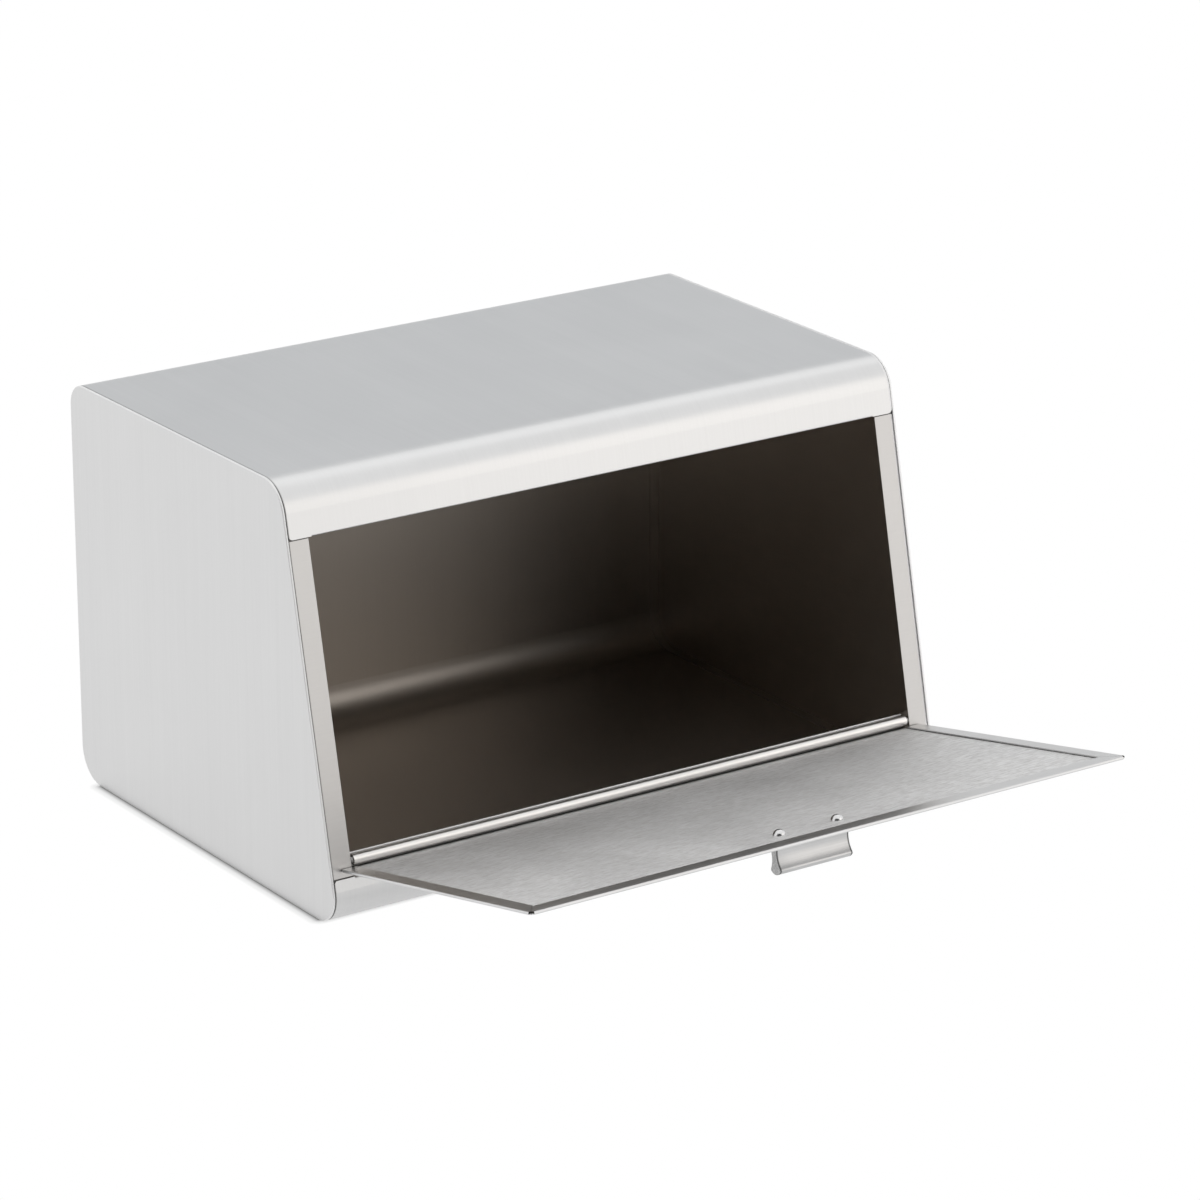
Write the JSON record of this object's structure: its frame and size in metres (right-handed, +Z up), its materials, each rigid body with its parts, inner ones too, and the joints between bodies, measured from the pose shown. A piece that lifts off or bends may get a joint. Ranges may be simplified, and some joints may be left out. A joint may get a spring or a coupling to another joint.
{
  "type": "bread box",
  "caption": "Brushed stainless bread box with rounded bends and a leaning front, whose flat hemmed door drops down on a rolled edge and has a small riveted pull.",
  "frame": {"origin": "on the resting face, midway across the width, 115 mm in front of the back", "axes": "+X to the right as seen from the front, -Y towards the front, +Z up"},
  "size_m": [0.34, 0.3824, 0.2],
  "materials": {
    "box_sheet": "satin brushed",
    "door_sheet": "mill finish",
    "rod": "drawn wire",
    "pull": "satin extruded",
    "rivet": "bright"
  },
  "bodies": {
    "box": {"body_wrapper": "box_sheet", "left_side_cover": "box_sheet", "right_side_cover": "box_sheet", "left_inner_wall": "box_sheet", "right_inner_wall": "box_sheet", "hinge_rod": "rod"},
    "door": {"door_panel": "door_sheet", "door_handle": "pull", "handle_rivets": "rivet"}
  },
  "joints": [
    {"name": "door_hinge", "type": "hinge", "parent": "box", "child": "door", "pos_m": [0, -0.11024, 0.029], "axis": [-1, 0, 0], "range_deg": [0, 90.4]}
  ]
}
